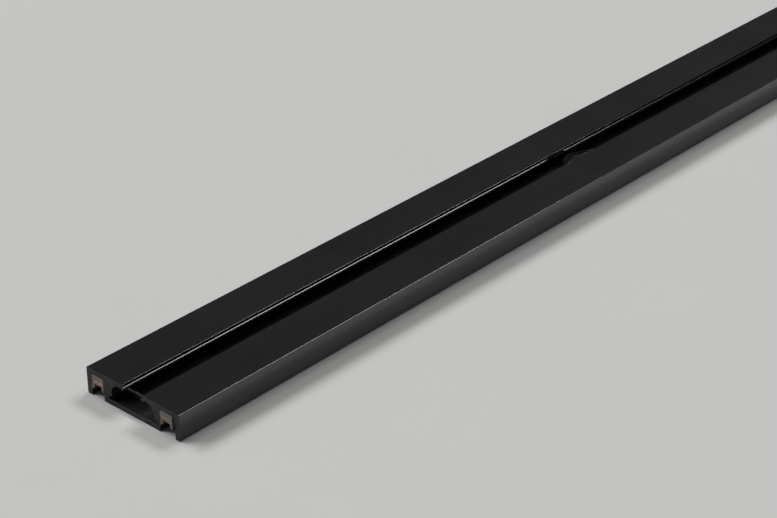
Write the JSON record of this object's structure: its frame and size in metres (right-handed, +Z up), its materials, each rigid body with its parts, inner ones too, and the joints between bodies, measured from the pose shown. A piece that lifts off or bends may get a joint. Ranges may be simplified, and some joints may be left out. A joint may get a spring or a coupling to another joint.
{
  "type": "magnetic lighting track",
  "caption": "Slim black aluminium lighting track with a lengthwise slot over a wide channel, a steel strip behind its flat magnetic face and an insulated copper conductor in each side groove.",
  "frame": {"origin": "middle of the rail's length and width, on the floor that it lies on", "axes": "+X along the rail away from the cut end seen in the picture, +Y to that end's left, +Z up, out of the slot"},
  "size_m": [1, 0.026, 0.0059],
  "materials": {
    "track_black": "satin black coating",
    "grey_plastic": "matte",
    "copper": "bare copper, drawn and dulled",
    "strip_steel": "dark rolled"
  },
  "bodies": {
    "root": {"track_profile": "track_black", "insulator_left": "grey_plastic", "insulator_right": "grey_plastic", "conductor_left": "copper", "conductor_right": "copper", "steel_strip": "strip_steel"}
  },
  "joints": []
}
